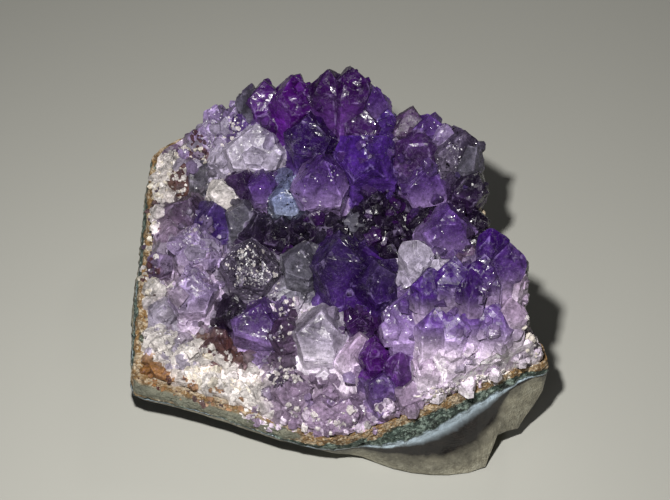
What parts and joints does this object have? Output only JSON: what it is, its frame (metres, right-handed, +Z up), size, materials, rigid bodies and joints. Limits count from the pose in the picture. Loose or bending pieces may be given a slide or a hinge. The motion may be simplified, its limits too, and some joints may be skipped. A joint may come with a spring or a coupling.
{
  "type": "amethyst geode fragment",
  "caption": "Piece of a geode wall: a curved agate rind that carries a crust of violet quartz points and rests on its underside.",
  "frame": {"origin": "middle of the bounding box in plan, on the surface it rests on", "axes": "+Z up from the resting face through the crystals, +X along the front edge to the right, +Y towards the tall crystals at the back"},
  "size_m": [0.092, 0.0841, 0.0509],
  "materials": {
    "agate_rind": "rough outer skin, waxy grey agate where it is broken",
    "crystal_crust": "glassy flat crystal faces, clear to cloudy violet"
  },
  "bodies": {
    "root": {"agate_rind": "agate_rind", "crystal_crust": "crystal_crust"}
  },
  "joints": []
}
